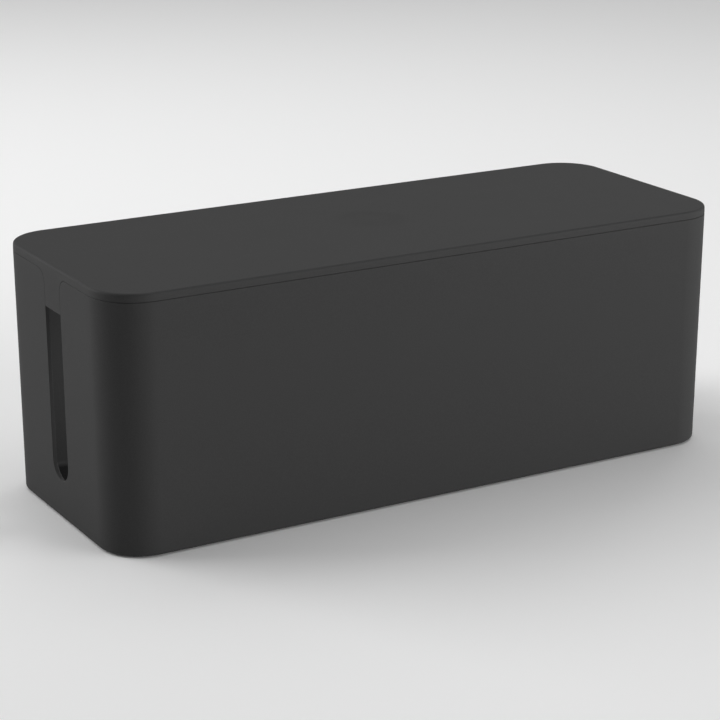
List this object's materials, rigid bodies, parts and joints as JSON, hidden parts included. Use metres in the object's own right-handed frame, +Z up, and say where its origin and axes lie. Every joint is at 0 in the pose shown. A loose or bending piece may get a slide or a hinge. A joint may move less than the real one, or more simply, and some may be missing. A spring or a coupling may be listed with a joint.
{
  "type": "cable management box",
  "caption": "Long closed box with rounded corners, a lift-off lid and an upright cable slot in each end, for hiding a power strip and its leads.",
  "frame": {"origin": "middle of the plane under the four feet", "axes": "+X along the box, towards the right end; +Y to the rear; +Z up"},
  "size_m": [0.406, 0.156, 0.15],
  "materials": {
    "moulded_plastic": "graphite moulded plastic with a fine matte texture",
    "foot_rubber": "black non-slip rubber"
  },
  "bodies": {
    "box": {"tub": "moulded_plastic", "foot_front_left": "foot_rubber", "foot_front_right": "foot_rubber", "foot_rear_left": "foot_rubber", "foot_rear_right": "foot_rubber"},
    "lid": {"lid": "moulded_plastic"}
  },
  "joints": [
    {"name": "lid_lift", "type": "slide", "parent": "box", "child": "lid", "axis": [0, 0, 1], "range_m": [0, 0.06]}
  ]
}
